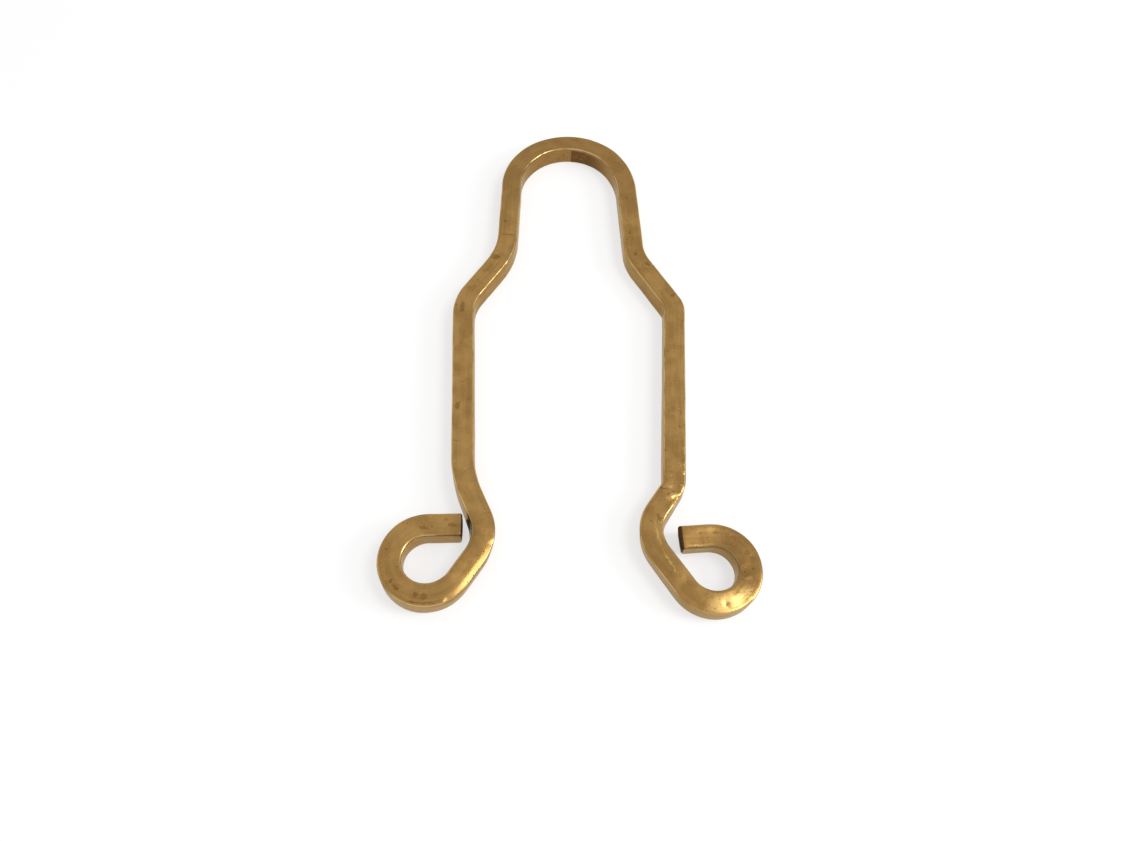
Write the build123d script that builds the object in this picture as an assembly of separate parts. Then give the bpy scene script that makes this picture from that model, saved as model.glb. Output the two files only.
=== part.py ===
from build123d import *

import os
from dataclasses import dataclass

# Fork clip: one length of square brass wire, bent cold in one plane.
#
# The clip lies flat, with Z up. Its arch points to +Y and its two eyes lie at the -Y end. Each
# limb is bent outwards from the middle of the arch, in the order in which its sizes are listed:
# down the side of the arch, out over a shoulder, along a straight leg, in at the knee, and round
# an open eye whose tail comes back towards the leg. The wire was bent by hand, so the two limbs
# are alike but not mirror images.
#
# Lengths are millimetres and turns are degrees. A bend's radius is that of the former it was
# bent on, so it is measured to the inside of the bend.

# The wire
WIRE = 3.2  # across the flats
EDGE_RADIUS = 0.3  # along the four long edges
END_BREAK = 0.25  # rounding left by the file round each cut end

# The top of the arch, which both limbs share
CROWN_RADIUS = 7.7


@dataclass
class Limb:
    """One side of the clip, from the middle of the arch to the cut end of the wire."""

    crown_turn: float  # share of the crown on this side
    haunch_turn: float  # gentler side of the arch
    haunch_radius: float
    upper_leg: float  # straight run below the arch
    shoulder_turn: float  # bend outwards
    shoulder_radius: float
    shoulder_run: float  # straight run of the shoulder
    return_turn: float  # bend back in line
    return_radius: float
    leg: float  # long straight run
    knee_turn: float  # bend inwards
    knee_radius: float
    neck: float  # straight run from the knee to the throat
    throat_turn: float  # bend outwards that starts the eye
    throat_radius: float
    eye_run: float  # straight lower side of the eye
    eye_turn: float  # curl round the eye
    eye_radius: float
    tail: float  # straight run back to the cut end


RIGHT = Limb(
    crown_turn=58.5,
    haunch_turn=27.5,
    haunch_radius=12.1,
    upper_leg=12.6,
    shoulder_turn=27.0,
    shoulder_radius=7.0,
    shoulder_run=8.6,
    return_turn=33.5,
    return_radius=1.6,
    leg=29.2,
    knee_turn=29.0,
    knee_radius=2.0,
    neck=3.8,
    throat_turn=66.0,
    throat_radius=4.1,
    eye_run=5.6,
    eye_turn=241.0,
    eye_radius=3.1,
    tail=3.7,
)

LEFT = Limb(
    crown_turn=46.5,
    haunch_turn=43.0,
    haunch_radius=8.9,
    upper_leg=11.4,
    shoulder_turn=30.5,
    shoulder_radius=11.5,
    shoulder_run=6.0,
    return_turn=35.0,
    return_radius=6.4,
    leg=24.8,
    knee_turn=19.0,
    knee_radius=15.6,
    neck=4.2,
    throat_turn=54.5,
    throat_radius=4.5,
    eye_run=3.8,
    eye_turn=236.0,
    eye_radius=3.3,
    tail=4.4,
)


def limb_path(limb):
    """The centre line of the right-hand form of a limb, as edges that run on from each other."""
    path = []

    def bend(turn, inside_radius):
        start = path[-1] @ 1 if path else Vector(0, 0)
        heading = path[-1] % 1 if path else Vector(1, 0)
        path.append(JernArc(start, heading, inside_radius + WIRE / 2, turn))

    def run(length):
        start = path[-1] @ 1
        path.append(Line(start, start + (path[-1] % 1) * length))

    bend(-limb.crown_turn, CROWN_RADIUS)
    bend(-limb.haunch_turn, limb.haunch_radius)
    run(limb.upper_leg)
    bend(limb.shoulder_turn, limb.shoulder_radius)
    run(limb.shoulder_run)
    bend(-limb.return_turn, limb.return_radius)
    run(limb.leg)
    bend(-limb.knee_turn, limb.knee_radius)
    run(limb.neck)
    bend(limb.throat_turn, limb.throat_radius)
    run(limb.eye_run)
    bend(limb.eye_turn, limb.eye_radius)
    run(limb.tail)
    return path


def wire_path():
    """The whole centre line, from the left tail over the arch to the right tail."""
    left = [mirror(edge, about=Plane.YZ) for edge in limb_path(LEFT)]
    return Wire([edge.edge() for edge in left[::-1] + limb_path(RIGHT)])


def bent_wire(path):
    """The square section drawn along the centre line, with its cut ends broken by a file."""
    start = Plane(origin=path @ 0, x_dir=(0, 0, 1), z_dir=path % 0)
    section = start * RectangleRounded(WIRE, WIRE, EDGE_RADIUS)
    clip = sweep(section, path=path)
    ends = [clip.faces().sort_by_distance(path @ at)[0] for at in (0, 1)]
    return fillet([edge for end in ends for edge in end.edges()], END_BREAK)


def stood_on_its_base(clip):
    """The clip moved so that the middle of its underside's box is the origin."""
    box = clip.bounding_box()
    return Pos(-box.center().X, -box.center().Y, -box.min.Z) * clip


path = wire_path()
fork_clip = stood_on_its_base(bent_wire(path))

os.makedirs("parts", exist_ok=True)
export_step(fork_clip, "parts/fork_clip.step")
print("wire length", round(path.length, 1), "volume", round(fork_clip.volume, 1))
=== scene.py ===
import math

import bmesh
import bpy
from mathutils import Matrix, Vector
from mathutils.kdtree import KDTree


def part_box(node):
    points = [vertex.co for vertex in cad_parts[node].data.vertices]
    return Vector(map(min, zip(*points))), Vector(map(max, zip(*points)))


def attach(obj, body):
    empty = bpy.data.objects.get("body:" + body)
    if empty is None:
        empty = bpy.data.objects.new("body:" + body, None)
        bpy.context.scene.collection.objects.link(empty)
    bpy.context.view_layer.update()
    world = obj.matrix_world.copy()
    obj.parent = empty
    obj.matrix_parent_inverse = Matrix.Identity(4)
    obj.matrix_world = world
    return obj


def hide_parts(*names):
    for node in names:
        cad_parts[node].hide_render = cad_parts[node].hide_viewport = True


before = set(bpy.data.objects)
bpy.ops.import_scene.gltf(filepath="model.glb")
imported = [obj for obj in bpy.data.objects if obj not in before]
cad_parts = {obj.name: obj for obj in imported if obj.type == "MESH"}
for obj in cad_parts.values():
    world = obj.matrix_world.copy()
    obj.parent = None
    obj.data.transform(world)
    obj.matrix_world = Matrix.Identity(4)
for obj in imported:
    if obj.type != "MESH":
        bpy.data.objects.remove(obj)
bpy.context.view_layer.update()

# A fork clip: one length of square brass wire, bent cold in one plane and left to age.
# Lengths below are in millimetres and MM turns them to metres; turns are in degrees.

MM = 0.001
WIRE = 3.2 * MM
EDGE_RADIUS = 0.3 * MM
MID_HEIGHT = WIRE / 2
CROWN_X = -1.207  # the middle of the arch's top, a little left of the clip's middle
CROWN_RADIUS = 7.7
WIRE_TO_CUT = 113.5  # from the middle of the arch's top to either cut end, along the wire
RIGHT_HAND = 1
LEFT_HAND = -1

# How finely the mesh follows the wire: round its edges, across its flats and along it.
EDGE_SEGMENTS = 3
FLAT_CUTS = 8
RING_GAP = 0.3 * MM
MERGE_GAP = 0.01 * MM
SMOOTH_BELOW = 50.0

# Each limb from the top of the arch to its cut end: (what it is, inside radius, turn, roll)
# for a bend and (what it is, length, roll) for a straight run. A positive turn goes to the
# clip's outside. The roll is how far the square has turned about the wire's own line by the
# end of that step, outer side up, because a hand-bent square wire never stays quite level.
RIGHT = (
    ("crown", CROWN_RADIUS, -58.5, 0.0),
    ("haunch", 12.1, -27.5, 0.0),
    ("upper leg", 12.6, 0.0),
    ("shoulder", 7.0, 27.0, 0.0),
    ("shoulder run", 8.6, 0.0),
    ("return", 1.6, -33.5, 0.0),
    ("leg", 29.2, 0.0),
    ("knee", 2.0, -29.0, 0.0),
    ("neck", 3.8, 4.0),
    ("throat", 4.1, 66.0, 8.0),
    ("eye run", 5.6, 6.0),
    ("eye foot", 3.1, 80.0, 6.5),
    ("eye side", 3.1, 81.0, 0.0),
    ("eye top", 3.1, 80.0, -8.0),
    ("tail", 3.6, -8.0),
)
LEFT = (
    ("crown", CROWN_RADIUS, -46.5, 0.0),
    ("haunch", 8.9, -43.0, 0.0),
    ("upper leg", 11.4, 0.0),
    ("shoulder", 11.5, 30.5, 0.0),
    ("shoulder run", 6.0, 0.0),
    ("return", 6.4, -35.0, 0.0),
    ("leg", 24.8, 0.0),
    ("knee", 15.6, -19.0, 3.0),
    ("neck", 4.2, 9.0),
    ("throat", 4.5, 54.5, 10.0),
    ("eye run", 3.8, 10.0),
    ("eye foot", 3.3, 76.0, 2.0),
    ("eye side", 3.3, 80.0, -2.0),
    ("eye top", 3.3, 80.0, -3.0),
    ("tail", 4.2, -3.0),
)

# The cut ends: how far each leans, the steps of its dome (forward, size of the section
# against the one before), and the last flat in its middle.
RIGHT_LEAN = 9.0
LEFT_LEAN = 4.0
CUT_DOME = ((0.14, 0.975), (0.09, 0.94), (0.05, 0.9), (0.02, 0.8))
CUT_RIM = 0.3
CUT_RISE = 0.04


# ---------------------------------------------------------------- selecting

def deselect_all():
    for thing in bpy.context.selected_objects:
        thing.select_set(False)


def edit_only(piece):
    """Goes into edit mode on this piece alone."""
    deselect_all()
    bpy.context.view_layer.objects.active = piece
    piece.select_set(True)
    bpy.ops.object.mode_set(mode="EDIT")


def leave_edit():
    bpy.ops.object.mode_set(mode="OBJECT")


def pick_edges(piece, wanted):
    """Selects the edges whose two ends pass the test, and nothing else."""
    bpy.ops.mesh.select_mode(type="EDGE")
    bpy.ops.mesh.select_all(action="DESELECT")
    shape = bmesh.from_edit_mesh(piece.data)
    for edge in shape.edges:
        edge.select_set(wanted(edge.verts[0].co, edge.verts[1].co))
    bmesh.update_edit_mesh(piece.data)


def pick_points(piece, wanted):
    """Selects points by their place on the clip and in the straight wire, in millimetres."""
    bpy.ops.mesh.select_mode(type="VERT")
    bpy.ops.mesh.select_all(action="DESELECT")
    shape = bmesh.from_edit_mesh(piece.data)
    straight = shape.verts.layers.float_vector["straight_wire"]
    for vertex in shape.verts:
        vertex.select_set(wanted(vertex.co / MM, vertex[straight]))
    shape.select_flush_mode()
    bmesh.update_edit_mesh(piece.data)
    return sum(vertex.select for vertex in shape.verts)


# ---------------------------------------------------------------- bending the wire

class Bender:
    """Follows the wire while it is bent: where its open end stands and which way it looks."""

    def __init__(self, place, hand):
        self.hand = hand
        self.place = Vector(place)
        self.heading = 0.0 if hand == RIGHT_HAND else math.pi
        self.roll = 0.0
        self.length = 0.0
        self.stations = []
        self.note()

    def note(self):
        """Keeps this place on the wire's line, for the patterns that follow the wire."""
        self.stations.append((self.place.copy(), self.heading, self.roll, self.length))

    def ahead(self):
        return Vector((math.cos(self.heading), math.sin(self.heading), 0.0))

    def leftwards(self):
        return Vector((-math.sin(self.heading), math.cos(self.heading), 0.0))

    def turn_end(self, axis, angle):
        """Turns the open end about the wire's own line (X), across it (Y) or upright (Z)."""
        # the wire is brought level with X, turned and brought back; with no window, rotate
        # takes each angle the other way round
        turns = ((self.heading, "Z"), (-angle, axis), (-self.heading, "Z"))
        for value, about in turns:
            bpy.ops.transform.rotate(
                value=value, orient_axis=about, center_override=self.place
            )

    def roll_by(self, angle):
        """Rolls the open end on the floor, outer side up, without sinking it."""
        self.turn_end("X", angle * self.hand)
        before = resting_height(self.roll)
        self.roll += angle
        rise = Vector((0.0, 0.0, resting_height(self.roll) - before))
        bpy.ops.transform.translate(value=rise)
        self.place = self.place + rise

    def run(self, length, roll):
        """Draws the open end of the wire straight on."""
        length = length * MM
        steps = max(1, round(length / RING_GAP))
        step = self.ahead() * (length / steps)
        roll_step = (math.radians(roll) - self.roll) / steps
        for _ in range(steps):
            bpy.ops.mesh.extrude_region_move(TRANSFORM_OT_translate={"value": step})
            self.place = self.place + step
            self.length += length / steps
            if roll_step:
                self.roll_by(roll_step)
            self.note()

    def bend(self, inside_radius, turn, roll):
        """Spins the open end round a former, a ring at a time where it also rolls."""
        radius = inside_radius * MM + MID_HEIGHT
        turn = math.radians(turn) * self.hand
        centre = self.place + self.leftwards() * math.copysign(radius, turn)
        steps = max(2, round(abs(turn) * (radius + MID_HEIGHT) / RING_GAP))
        roll_step = (math.radians(roll) - self.roll) / steps
        spins = steps if roll_step else 1
        for _ in range(spins):
            bpy.ops.mesh.spin(
                steps=steps // spins,
                angle=-turn / spins,
                center=centre,
                axis=(0.0, 0.0, 1.0),
            )
            for _ in range(steps // spins):
                arm = self.place - centre
                arm.rotate(Matrix.Rotation(turn / steps, 3, "Z"))
                self.place = centre + arm
                self.heading += turn / steps
                self.length += abs(turn) * radius / steps
                if not roll_step:
                    self.note()
            if roll_step:
                self.roll_by(roll_step)
                self.note()

    def follow(self, schedule):
        for _, *sizes in schedule:
            if len(sizes) == 3:
                self.bend(*sizes)
            else:
                self.run(*sizes)

    def cut(self, lean):
        """The cut end: leaning, a little domed, its edges dragged over by the cutters."""
        self.turn_end("Y", math.radians(lean))
        for forward, size in CUT_DOME:
            step = self.ahead() * forward * MM
            bpy.ops.mesh.extrude_region_move(TRANSFORM_OT_translate={"value": step})
            self.place = self.place + step
            bpy.ops.transform.resize(value=(size,) * 3, center_override=self.place)
        bpy.ops.mesh.edge_face_add()
        bpy.ops.mesh.inset(thickness=CUT_RIM * MM, depth=CUT_RISE * MM)


def resting_height(roll):
    """How high the line of the wire is when its rounded square lies on the floor, rolled."""
    flat = MID_HEIGHT - EDGE_RADIUS
    return flat * (math.cos(roll) + abs(math.sin(roll))) + EDGE_RADIUS


def square_ring(place, heading):
    """The wire's section, upright on its path: a square with round corners, left open."""
    bpy.ops.mesh.primitive_plane_add(
        size=WIRE, location=place, rotation=(0.0, math.radians(90.0), heading)
    )
    piece = bpy.context.active_object
    bpy.ops.object.transform_apply(location=True, rotation=True, scale=True)
    edit_only(piece)
    bpy.ops.mesh.select_all(action="SELECT")
    bpy.ops.mesh.bevel(affect="VERTICES", offset=EDGE_RADIUS, segments=EDGE_SEGMENTS)
    pick_edges(piece, lambda a, b: (a - b).length > EDGE_RADIUS)
    bpy.ops.mesh.subdivide(number_cuts=FLAT_CUTS)
    bpy.ops.mesh.select_all(action="SELECT")
    bpy.ops.mesh.delete(type="ONLY_FACE")
    bpy.ops.mesh.select_all(action="SELECT")
    return piece


def bent_limb(name, schedule, apex, hand, lean):
    """Half of the clip, from the top of the arch to one cut end."""
    bender = Bender(apex, hand)
    piece = square_ring(apex, bender.heading)
    piece.name = name
    bender.follow(schedule)
    bender.cut(lean)
    leave_edit()
    note_straight_wire(piece, bender)
    return piece


def note_straight_wire(piece, bender):
    """Every point keeps the place it had in the straight wire, in millimetres: along, out, up."""
    tree = KDTree(len(bender.stations))
    for number, station in enumerate(bender.stations):
        tree.insert(station[0], number)
    tree.balance()
    straight = piece.data.attributes.new("straight_wire", "FLOAT_VECTOR", "POINT")
    for vertex in piece.data.vertices:
        level = Vector((vertex.co.x, vertex.co.y, MID_HEIGHT))
        place, heading, roll, length = bender.stations[tree.find(level)[1]]
        ahead = Vector((math.cos(heading), math.sin(heading), 0.0))
        outwards = Vector((-ahead.y, ahead.x, 0.0)) * bender.hand
        off = vertex.co - place
        out = off.dot(outwards)
        straight.data[vertex.index].vector = (
            (length + off.dot(ahead)) * bender.hand / MM,
            (out * math.cos(roll) + off.z * math.sin(roll)) / MM,
            (off.z * math.cos(roll) - out * math.sin(roll)) / MM,
        )


def bent_wire(apex):
    right = bent_limb("right_limb", RIGHT, apex, RIGHT_HAND, RIGHT_LEAN)
    left = bent_limb("left_limb", LEFT, apex, LEFT_HAND, LEFT_LEAN)
    deselect_all()
    left.select_set(True)
    right.select_set(True)
    bpy.context.view_layer.objects.active = right
    bpy.ops.object.join()
    piece = bpy.context.active_object
    piece.name = "bent_wire"
    edit_only(piece)
    bpy.ops.mesh.select_all(action="SELECT")
    bpy.ops.mesh.remove_doubles(threshold=MERGE_GAP)
    bpy.ops.mesh.normals_make_consistent(inside=False)
    leave_edit()
    return piece


# ---------------------------------------------------------------- hand marks in the metal

UPPER_FACES = 2.6  # points higher than this are on the wire's upper side
BESIDE_FLATS = 1.25  # from the wire's middle, just short of where its rounded edges start
INNER_FACE = 1.52  # from the wire's middle, almost on the face itself
SMALLEST = 1e-9  # keeps a mark of no length from dividing by nothing


def press(piece, wanted, shift, reach):
    """Pushes the points that pass the test, and softly those within reach of them."""
    if pick_points(piece, wanted):
        bpy.ops.transform.translate(
            value=Vector(shift) * MM,
            use_proportional_edit=True,
            proportional_edit_falloff="SMOOTH",
            proportional_size=reach * MM,
        )


def near_line(start, end, width):
    """A test for points on the upper faces within a width of a line, in millimetres."""
    start, end = Vector(start), Vector(end)
    along = end - start

    def wanted(point, _):
        if point.z < UPPER_FACES:
            return False
        off = Vector((point.x, point.y)) - start
        share = min(max(off.dot(along) / max(along.length_squared, SMALLEST), 0.0), 1.0)
        return (off - along * share).length < width

    return wanted


# Creases, nicks and dents: (from, to, half width, push, reach).
WORKED_MARKS = (
    # the fold across the inside corner of the right knee, and the facet under it
    ((12.4, -25.4), (14.2, -25.6), 0.2, (0.0, 0.0, -0.13), 0.4),
    ((12.6, -26.6), (13.2, -27.2), 0.3, (0.0, 0.0, 0.06), 0.7),
    # the dent of the bending jaw beside it, with its raised rim
    ((14.1, -27.3), (14.5, -27.0), 0.3, (0.0, 0.0, -0.16), 0.55),
    ((13.3, -27.3), (14.0, -26.6), 0.15, (0.0, 0.0, 0.09), 0.35),
    ((14.0, -26.6), (15.0, -26.4), 0.15, (0.0, 0.0, 0.09), 0.35),
    ((15.1, -25.0), (15.4, -25.2), 0.2, (0.05, 0.0, 0.06), 0.4),
    # bruises along the right leg's outer edge
    ((15.75, -19.3), (15.8, -19.9), 0.25, (-0.12, 0.0, -0.06), 0.4),
    ((15.75, -21.9), (15.7, -22.2), 0.25, (-0.1, 0.0, -0.05), 0.4),
    ((15.7, -23.2), (15.7, -24.2), 0.25, (-0.15, 0.0, -0.08), 0.4),
    # the nick in the right shoulder
    ((11.3, 14.8), (12.2, 14.3), 0.25, (-0.1, -0.1, -0.16), 0.45),
    # the ridge where the right throat was gripped
    ((11.2, -30.4), (12.0, -34.0), 0.2, (0.0, 0.0, 0.09), 1.2),
    ((12.0, -34.0), (14.4, -38.4), 0.2, (0.0, 0.0, 0.09), 1.2),
    # the score across the left upper leg
    ((-11.9, 19.95), (-9.9, 19.85), 0.16, (0.0, 0.0, -0.06), 0.3),
    # low spots in the eyes
    ((20.2, -41.9), (20.4, -41.9), 0.2, (0.0, 0.0, -0.08), 0.4),
    ((23.0, -37.5), (23.6, -37.0), 0.4, (0.0, 0.0, -0.06), 0.8),
    ((-16.8, -31.0), (-16.6, -31.0), 0.2, (0.0, 0.0, -0.09), 0.4),
    ((-16.2, -31.9), (-15.3, -31.7), 0.25, (0.0, 0.0, -0.07), 0.5),
    ((-19.9, -32.4), (-19.2, -32.2), 0.25, (0.0, 0.0, -0.07), 0.5),
    ((-23.4, -39.8), (-23.2, -39.9), 0.25, (0.0, 0.0, -0.09), 0.45),
    ((-22.5, -40.8), (-22.4, -41.2), 0.3, (0.0, 0.0, -0.07), 0.6),
)


def hand_marks(piece):
    edit_only(piece)
    for start, end, width, push, reach in WORKED_MARKS:
        press(piece, near_line(start, end, width), push, reach)
    leave_edit()


# Inner upper edges that the former and the jaws flattened: (from, to, depth, reach), where the
# first two are lengths along the wire from the top of the arch, the left limb's below 0.
FLATTENED_EDGES = (
    # the left eye's run
    (-91.5, -83.0, 0.12, 0.5),
    # the right eye's foot
    (91.5, 97.5, 0.1, 1.8),
    # the left side of the arch
    (-9.6, -6.0, 0.1, 0.6),
    (-6.0, -2.5, 0.04, 0.45),
    # the shoulders
    (-40.5, -32.5, 0.08, 0.5),
    (33.0, 41.5, 0.06, 0.45),
)


def flattened_edges(piece):
    edit_only(piece)
    for start, end, depth, reach in FLATTENED_EDGES:
        def wanted(_, straight):
            beside = straight.y < -BESIDE_FLATS and straight.z > BESIDE_FLATS
            return beside and start < straight.x < end

        if pick_points(piece, wanted):
            bpy.ops.transform.shrink_fatten(
                value=-depth * MM,
                use_proportional_edit=True,
                proportional_edit_falloff="SMOOTH",
                proportional_size=reach * MM,
            )
    leave_edit()


# The recess on the arch's inner face: a step, just right of the arch's top, from which layers
# run out to the right, each (how far right it reaches, its depth).
FLAKE_STEP = 0.5
FLAKE_LAYERS = ((2.0, 0.03), (3.4, 0.03), (4.8, 0.03), (6.0, 0.02))


def flaked_crown(piece):
    edit_only(piece)
    for end, depth in FLAKE_LAYERS:
        def wanted(_, straight):
            inner = straight.y < -INNER_FACE and abs(straight.z) < BESIDE_FLATS
            return inner and FLAKE_STEP < straight.x < end

        if pick_points(piece, wanted):
            bpy.ops.transform.shrink_fatten(value=-depth * MM)
    leave_edit()


# Unevenness all over: (name, how long its lumps are, how high).
SURFACE_WAVES = (("waves", 4.0, 0.07), ("ripples", 0.9, 0.02))


def uneven_surface(piece):
    """The soft waves that bending and years of wear leave in a drawn wire."""
    for name, size, height in SURFACE_WAVES:
        clouds = bpy.data.textures.new(name, "CLOUDS")
        clouds.noise_scale = size * MM
        clouds.noise_depth = 1
        modifier = piece.modifiers.new(name, "DISPLACE")
        modifier.texture = clouds
        modifier.texture_coords = "LOCAL"
        modifier.mid_level = 0.5
        modifier.strength = height * MM
        deselect_all()
        piece.select_set(True)
        bpy.context.view_layer.objects.active = piece
        bpy.ops.object.modifier_apply(modifier=name)


# ---------------------------------------------------------------- materials

def linear(hex_colour):
    """An sRGB hex value as the linear colour that a shader takes."""
    parts = [int(hex_colour[i:i + 2], 16) / 255.0 for i in (1, 3, 5)]
    parts = [p / 12.92 if p <= 0.04045 else ((p + 0.055) / 1.055) ** 2.4 for p in parts]
    return (*parts, 1.0)


TIMES = {"operation": "MULTIPLY"}
TIMES_PLUS = {"operation": "MULTIPLY_ADD"}
SIZE_OF = {"operation": "ABSOLUTE"}
LARGER = {"operation": "MAXIMUM"}
SUM_UP_TO_1 = {"operation": "ADD", "use_clamp": True}
COLOURS = {"data_type": "RGBA"}

# The Mix node's colour sockets, by number because their names repeat.
SHARE, UNDER, OVER = 0, 6, 7
MIXED = 2


def add_node(tree, kind, settings=None, inputs=None, output=0):
    """Adds a node and gives one output, if it has any; an input is linked to a given socket
    and set to any other value.
    """
    node = tree.nodes.new(kind)
    for name, value in (settings or {}).items():
        setattr(node, name, value)
    for name, value in (inputs or {}).items():
        if isinstance(value, bpy.types.NodeSocket):
            tree.links.new(value, node.inputs[name])
        else:
            node.inputs[name].default_value = value
    return node.outputs[output] if node.outputs else None


def new_material(name):
    material = bpy.data.materials.new(name)
    material.use_nodes = True
    material.node_tree.nodes.clear()
    return material


def zone(tree, *limits):
    """1 where every measure is past its limit, 0 short of any, from (measure, start, end)."""
    share = 1.0
    for measure, start, end in limits:
        past = add_node(tree, "ShaderNodeMapRange", {"interpolation_type": "SMOOTHSTEP"}, {
            "Value": measure, "From Min": start, "From Max": end,
        })
        share = add_node(tree, "ShaderNodeMath", TIMES, {0: share, 1: past})
    return share


def stained(tree, skin, share, strength, colour):
    """The skin under one more colour: the share says where, the strength how much of it."""
    share = add_node(tree, "ShaderNodeMath", TIMES, {0: share, 1: strength})
    return add_node(tree, "ShaderNodeMix", COLOURS, {
        SHARE: share, UNDER: skin, OVER: linear(colour),
    }, MIXED)


def summed(tree, total, parts):
    """A number plus each pattern times its amount."""
    for pattern, amount in parts:
        total = add_node(tree, "ShaderNodeMath", TIMES_PLUS, {
            0: pattern, 1: amount, 2: total,
        })
    return total


def cloud(tree, place, per_mm, detail=2.0, stretch=(1.0, 1.0, 1.0)):
    """Noise about 0.5 whose lumps are about 1 / per_mm long, less where it is stretched."""
    scaled = add_node(tree, "ShaderNodeMapping", None, {
        "Vector": place, "Scale": tuple(per_mm * part for part in stretch),
    })
    return add_node(tree, "ShaderNodeTexNoise", None, {
        "Vector": scaled, "Scale": 1.0, "Detail": detail,
    }, "Fac")


def spots(tree, place, marks):
    """1 in the middle of each soft oval on the clip's upper face, 0 at its rim and beyond."""
    result = 0.0
    for middle, size, turn in marks:
        moved = add_node(tree, "ShaderNodeMapping", {"vector_type": "TEXTURE"}, {
            "Vector": place,
            "Location": (*middle, WIRE / MM),
            "Rotation": (0.0, 0.0, math.radians(turn)),
            "Scale": (*size, SPOT_DEPTH),
        })
        ball = add_node(tree, "ShaderNodeTexGradient", {"gradient_type": "SPHERICAL"}, {
            "Vector": moved,
        }, "Fac")
        result = add_node(tree, "ShaderNodeMath", LARGER, {0: result, 1: ball})
    return result


# Marks on the upper face: (middle, half sizes across and along the clip, turn). The dark ones are
# stains and specks, with darker lines along the score and the knee's fold; the bright ones are
# painted highlights where bent, dented and ridged faces catch the lamps.
SPOT_DEPTH = 2.0
DARK_SPOTS = (
    ((-10.9, 19.9), (1.5, 0.16), -2),
    ((-11.4, 22.8), (0.35, 0.35), 0),
    ((-12.6, 15.0), (0.9, 0.6), 20),
    ((-17.2, 4.9), (0.5, 1.3), 0),
    ((-16.6, -13.0), (0.45, 0.9), -15),
    ((-16.2, -18.8), (0.9, 0.12), 0),
    ((8.6, 28.7), (0.3, 0.35), 0),
    ((9.1, 21.0), (0.3, 0.35), 0),
    ((9.8, 16.4), (0.25, 0.5), 0),
    ((11.7, 14.5), (0.7, 0.3), -35),
    ((15.6, 8.2), (0.5, 0.45), 0),
    ((15.7, -13.3), (0.2, 0.5), 0),
    ((15.5, -15.6), (0.35, 0.2), 0),
    ((15.7, -21.5), (0.2, 0.9), 0),
    ((15.6, -23.7), (0.25, 0.8), 0),
    ((12.9, -25.5), (0.9, 0.16), -4),
    ((14.35, -27.1), (0.5, 0.35), 45),
    ((12.0, -30.0), (0.3, 0.7), 15),
    ((19.4, -32.0), (0.5, 0.3), 0),
    ((21.8, -32.6), (1.6, 0.35), -8),
    ((21.0, -33.6), (1.3, 0.3), -25),
    ((23.4, -34.8), (0.6, 0.35), -40),
    ((24.2, -35.3), (0.4, 0.3), -40),
    ((23.1, -37.5), (0.9, 0.9), 0),
    ((20.3, -41.9), (0.3, 0.25), 0),
    ((17.4, -32.1), (0.4, 0.2), 0),
    ((13.8, -41.2), (0.3, 0.3), 0),
    ((-16.7, -31.0), (0.35, 0.25), 0),
    ((-15.8, -31.8), (0.9, 0.35), 5),
    ((-19.7, -32.3), (0.9, 0.4), -10),
    ((-23.3, -39.8), (0.35, 0.35), 0),
    ((-22.5, -40.7), (0.7, 0.35), -40),
    ((-19.8, -41.6), (0.4, 0.5), 0),
    ((-18.7, -41.9), (0.7, 0.6), 0),
    ((-19.3, -42.7), (2.6, 0.16), 0),
)
# painted highlights: glints on the knee's dent rims, the right eye's foot and the throats' ridges
PAINTED_HIGHLIGHTS = (
    ((15.3, -25.1), (0.35, 0.25), 0),
    ((13.6, -26.8), (1.0, 0.26), 40),
    ((14.6, -26.5), (0.9, 0.24), 8),
    ((14.3, -27.85), (0.95, 0.5), 50),
    ((12.2, -30.6), (0.4, 0.2), 60),
    ((20.4, -41.9), (3.4, 1.5), 8),
    ((22.7, -40.6), (1.6, 1.1), 50),
    ((16.9, -33.9), (1.6, 0.14), -3),
    ((11.7, -32.5), (2.4, 0.15), -78),
    ((13.3, -36.6), (2.6, 0.15), -60),
    ((-21.0, -34.5), (1.5, 0.2), 42),
    ((23.3, -38.3), (0.7, 0.3), 0),
)
# painted shade: the right eye's upper half and the left throat, drawn darker
PAINTED_SHADE_SPOTS = (
    ((21.9, -35.2), (7.4, 5.8), 0),
    ((-13.7, -32.6), (2.8, 4.0), 0),
)

# How far into a stain, a painted highlight or a patch of painted shade its colour is whole.
DARK_RIM = 0.45
PAINTED_HIGHLIGHT_RIM = 0.5
PAINTED_SHADE_RIM = 0.6

# Places on the wire's section, out from its middle, each from where it starts to where it is
# whole; a place that starts at the larger number lies below it.
NEAR_EDGE = (1.36, 1.52)
ON_SIDE = (1.42, 1.56)
SIDE_BELOW_TOP = (1.45, 1.15)
ON_INNER_FACE = (-1.3, -1.5)
RECESS_BELOW_RIM = (1.3, 0.9)

# Places along the wire from the top of the arch, in the same way.
ON_ARCH = (26.0, 14.0)
RECESS_STEP = (0.35, 0.6)
RECESS_RUN_OUT = (11.0, 3.5)
ON_CUT = (WIRE_TO_CUT - 0.02, WIRE_TO_CUT + 0.12)


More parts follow.
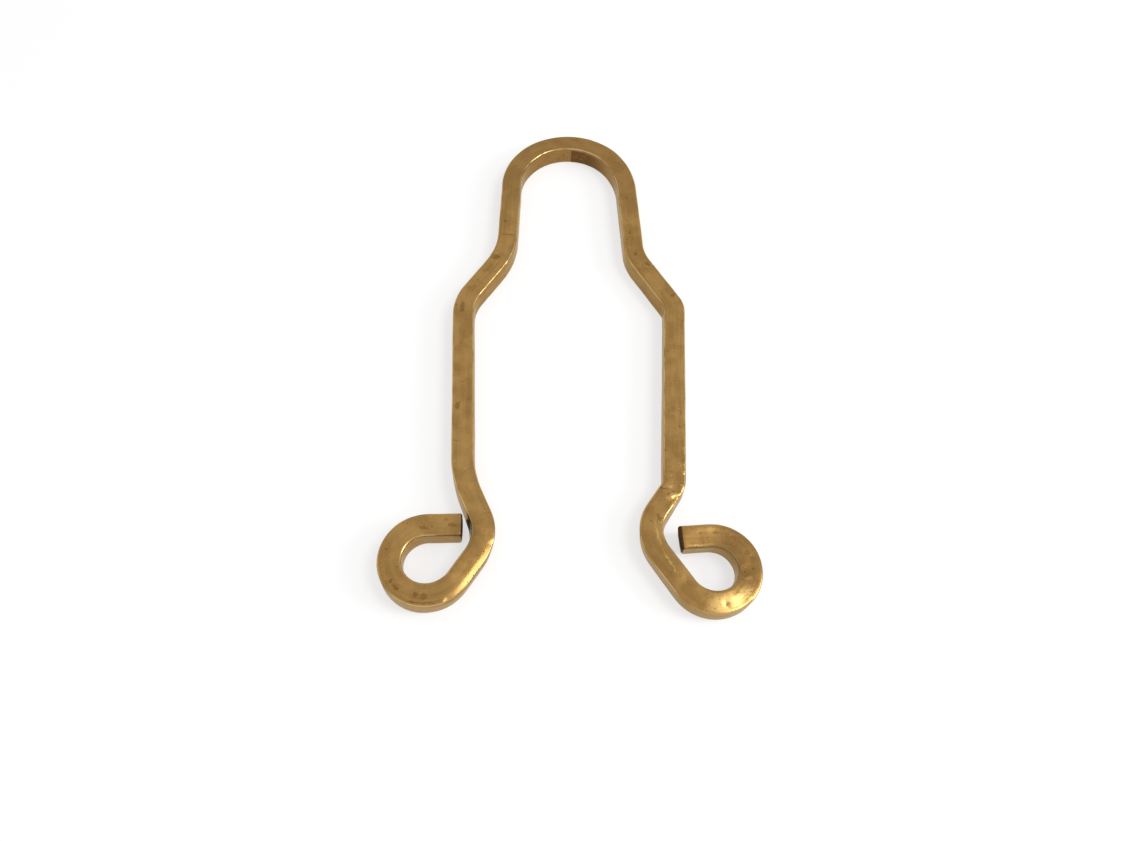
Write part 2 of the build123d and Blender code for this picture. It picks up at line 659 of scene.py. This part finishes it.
class WirePatterns:
    """What the brass is painted from: places on the wire, and noise that follows it."""

    def __init__(self, tree):
        shape = add_node(tree, "ShaderNodeTexCoord", output="Object")
        self.place = add_node(tree, "ShaderNodeVectorMath", {"operation": "SCALE"}, {
            0: shape, "Scale": 1.0 / MM,
        })
        self.wire = add_node(
            tree, "ShaderNodeAttribute", {"attribute_name": "straight_wire"}, output="Vector"
        )
        parts = add_node(tree, "ShaderNodeSeparateXYZ", None, {0: self.wire}).node
        self.along, self.out, self.up = parts.outputs
        self.from_top, self.beside, self.above = (
            add_node(tree, "ShaderNodeMath", SIZE_OF, {0: part}) for part in parts.outputs
        )
        # die lines: real ones are about 0.05 mm apart, drawn 0.35 mm apart so that they show
        self.lines = cloud(tree, self.wire, 2.8, 3.0, (0.03, 1.0, 1.0))
        self.streaks = cloud(tree, self.wire, 1.0, 2.0, (0.08, 1.0, 1.0))
        self.patches = cloud(tree, self.wire, 0.8, 3.0, (0.35, 1.0, 1.0))
        self.clouds = cloud(tree, self.place, 0.4, 3.0)
        self.stain_clouds = cloud(tree, self.place, 1.1, 4.0)
        self.grain = cloud(tree, self.place, 7.0, 2.0)
        self.pits = cloud(tree, self.place, 2.6, 1.0)
        self.ragged = self.ragged_place(tree)

    def ragged_place(self, tree):
        """Places pushed about a little, level with the floor, so that spots get ragged rims."""
        jitter = add_node(tree, "ShaderNodeTexNoise", None, {
            "Vector": self.place, "Scale": 2.4, "Detail": 3.0,
        }, "Color")
        jitter = add_node(tree, "ShaderNodeVectorMath", {"operation": "SUBTRACT"}, {
            0: jitter, 1: (0.5, 0.5, 0.5),
        })
        return add_node(tree, "ShaderNodeVectorMath", TIMES_PLUS, {
            0: jitter, 1: (0.9, 0.9, 0.0), 2: self.place,
        })


def aged_brass():
    """Drawn brass wire, bent cold, handled and left to brown: CuZn37, about 37% zinc.

    The eye sees a dull brown-gold skin with faint lines along the wire from the drawing die,
    redder stains and small pits in it, and yellow metal where the long edges have worn, with a
    painted highlight along them. Painted highlights on bent faces, painted shade on the right eye
    and the left throat, and painted light on the sides lie on the skin as well.
    """
    material = new_material("aged_drawn_brass")
    tree = material.node_tree
    at = WirePatterns(tree)

    # worn long edges, with a painted highlight along them
    edge_wear_and_sheen = zone(
        tree, (at.above, *NEAR_EDGE), (at.beside, *NEAR_EDGE), (at.patches, 0.3, 0.55)
    )
    recess = zone(
        tree, (at.along, *RECESS_STEP), (at.along, *RECESS_RUN_OUT),
        (at.out, *ON_INNER_FACE), (at.up, *RECESS_BELOW_RIM), (at.stain_clouds, 0.12, 0.5),
    )
    # where the painted highlights lie
    painted_highlights = zone(tree, (spots(tree, at.ragged, PAINTED_HIGHLIGHTS), 0.0, PAINTED_HIGHLIGHT_RIM))
    dark = zone(tree, (spots(tree, at.ragged, DARK_SPOTS), 0.0, DARK_RIM))
    # where the painted shade lies
    painted_shade = zone(tree, (spots(tree, at.ragged, PAINTED_SHADE_SPOTS), 0.0, PAINTED_SHADE_RIM))
    pitted = zone(tree, (at.pits, 0.70, 0.76))
    cut = zone(tree, (at.from_top, *ON_CUT))

    skin = add_node(tree, "ShaderNodeMix", COLOURS, {
        SHARE: zone(tree, (at.clouds, 0.36, 0.66)),
        UNDER: linear("#9b7744"),
        OVER: linear("#ad8850"),
    }, MIXED)
    layers = (
        # redder stains, paler streaks and darker die lines in the skin
        (zone(tree, (at.stain_clouds, 0.58, 0.78)), 0.5, "#8b623b"),
        (zone(tree, (at.streaks, 0.4, 0.7)), 0.35, "#b8945a"),
        (zone(tree, (at.lines, 0.5, 0.68)), 0.3, "#846236"),
        # the arch is drawn a shade browner than the legs
        (zone(tree, (at.from_top, *ON_ARCH)), 0.45, "#8a683e"),
        # painted light: the sides drawn a shade paler and yellower than the top
        (zone(tree, (at.beside, *ON_SIDE), (at.up, *SIDE_BELOW_TOP)), 0.3, "#ab824f"),
        # worn long edges, broken up where the skin has held, with a painted highlight along them
        (edge_wear_and_sheen, 0.75, "#e2c68c"),
        # the recess on the arch's inner face, drawn dark reddish-brown, darkest at its left step
        (recess, 0.85, "#644325"),
        # painted highlights on bent, dented and ridged faces, then dark stains and marks
        (painted_highlights, 0.5, "#dcb873"),
        (dark, 0.5, "#654324"),
        # painted shade darkening the right eye's upper half and the left throat
        (painted_shade, 0.52, "#7a5c34"),
        # small pits all over
        (pitted, 0.6, "#4b3422"),
        # the cut ends: a rough face, drawn dark brown
        (cut, 0.9, "#3a2618"),
    )
    for share, strength, colour in layers:
        skin = stained(tree, skin, share, strength, colour)
    grey = add_node(tree, "ShaderNodeMix", COLOURS, {
        SHARE: at.grain, UNDER: linear("#7d7d7d"), OVER: linear("#ffffff"),
    }, MIXED)
    skin = add_node(tree, "ShaderNodeMix", {**COLOURS, "blend_type": "MULTIPLY"}, {
        SHARE: 0.3, UNDER: skin, OVER: grey,
    }, MIXED)

    height = summed(tree, 0.0, (
        (at.lines, 0.5), (at.grain, 0.5), (pitted, -1.2), (dark, -0.5),
    ))
    shader = add_node(tree, "ShaderNodeBsdfPrincipled", None, {
        "Base Color": skin,
        "Metallic": 1.0,
        "Specular Tint": linear("#f9f2dd"),
        "Roughness": summed(tree, 0.21, (
            (at.clouds, 0.14), (edge_wear_and_sheen, -0.08), (dark, 0.15), (cut, 0.3),
        )),
        "Normal": add_node(tree, "ShaderNodeBump", None, {
            "Strength": 0.6, "Distance": 0.03 * MM, "Height": height,
        }),
    }, "BSDF")
    add_node(tree, "ShaderNodeOutputMaterial", None, {"Surface": shader})
    return material


BOARD_WASH = 0.62  # how far the board is washed out towards white, to the eye
SKY_LIGHT = 0.73  # the sky's strength as light, against 1 to the eye


def seen_ray(tree):
    """1 for what the eye, a reflection or a clear view sees, 0 for light on its way."""
    ray = add_node(tree, "ShaderNodeLightPath").node.outputs
    seen = add_node(tree, "ShaderNodeMath", SUM_UP_TO_1, {
        0: ray["Is Camera Ray"], 1: ray["Is Glossy Ray"],
    })
    return add_node(tree, "ShaderNodeMath", SUM_UP_TO_1, {
        0: seen, 1: ray["Is Transmission Ray"],
    })


def pale_floor():
    """Matt white board, washed out nearly to white, which keeps a faint shadow."""
    material = new_material("white_board")
    tree = material.node_tree
    shade = add_node(tree, "ShaderNodeMixShader", None, {
        0: add_node(tree, "ShaderNodeMath", TIMES, {0: seen_ray(tree), 1: BOARD_WASH}),
        1: add_node(tree, "ShaderNodeBsdfDiffuse", None, {"Color": linear("#fcfbfb")}),
        2: add_node(tree, "ShaderNodeEmission", None, {"Strength": 1.0}),
    })
    add_node(tree, "ShaderNodeOutputMaterial", None, {"Surface": shade})
    return material


# ---------------------------------------------------------------- stage

FLOOR_SIZE = 3.0
LAMPS = (
    # (name, place in metres, size, watts)
    ("key", (0.313, -0.055, 0.509), 0.22, 1.1),
    ("glint", (0.449, -0.063, 0.211), 0.2, 1.2),
)
LENS = 28.84
SENSOR = 36.0
NEAREST_SEEN = 0.005
CAMERA_PLACE = (-2.295, -80.680, 114.372)
# The camera's turns, in the order in which they are made: its own roll, tip up and swing.
CAMERA_TURNS = ((2.0, "Z"), (30.524, "X"), (-0.632, "Z"))


def floor():
    bpy.ops.mesh.primitive_plane_add(size=FLOOR_SIZE, location=(0.0, 0.0, 0.0))
    ground = bpy.context.active_object
    ground.name = "floor"
    ground.data.materials.append(pale_floor())


def sky():
    """White all round for the eye and for reflections, a little less as light."""
    world = bpy.data.worlds.new("soft_studio")
    world.use_nodes = True
    tree = world.node_tree
    tree.nodes.clear()
    shade = add_node(tree, "ShaderNodeBackground", None, {
        "Color": linear("#ffffff"),
        "Strength": summed(tree, SKY_LIGHT, ((seen_ray(tree), 1.0 - SKY_LIGHT),)),
    })
    add_node(tree, "ShaderNodeOutputWorld", None, {"Surface": shade})
    bpy.context.scene.world = world


def lamps():
    """Square lamps, each turned to the middle of the clip."""
    for name, place, size, watts in LAMPS:
        bpy.ops.object.light_add(type="AREA", location=place)
        light = bpy.context.active_object
        light.name = name
        light.data.size = size
        light.data.energy = watts
        light.rotation_euler = (-Vector(place)).to_track_quat("-Z", "Y").to_euler()


def camera():
    data = bpy.data.cameras.new("camera")
    data.lens = LENS
    data.sensor_width = SENSOR
    data.clip_start = NEAREST_SEEN
    view = bpy.data.objects.new("camera", data)
    bpy.context.scene.collection.objects.link(view)
    view.matrix_world = Matrix.Translation(Vector(CAMERA_PLACE) * MM)
    for degrees, about in reversed(CAMERA_TURNS):
        view.matrix_world @= Matrix.Rotation(math.radians(degrees), 4, about)
    bpy.context.scene.camera = view


# ---------------------------------------------------------------- the scene

arch_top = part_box("fork_clip")[1][1]
clip = bent_wire(Vector((CROWN_X * MM, arch_top - WIRE / 2, MID_HEIGHT)))
hand_marks(clip)
flattened_edges(clip)
flaked_crown(clip)
uneven_surface(clip)
deselect_all()
clip.select_set(True)
bpy.context.view_layer.objects.active = clip
bpy.ops.object.shade_smooth_by_angle(angle=math.radians(SMOOTH_BELOW))
clip.data.materials.append(aged_brass())
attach(clip, "root")
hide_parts("fork_clip")

floor()
sky()
lamps()
camera()
bpy.context.scene.view_settings.view_transform = "Standard"
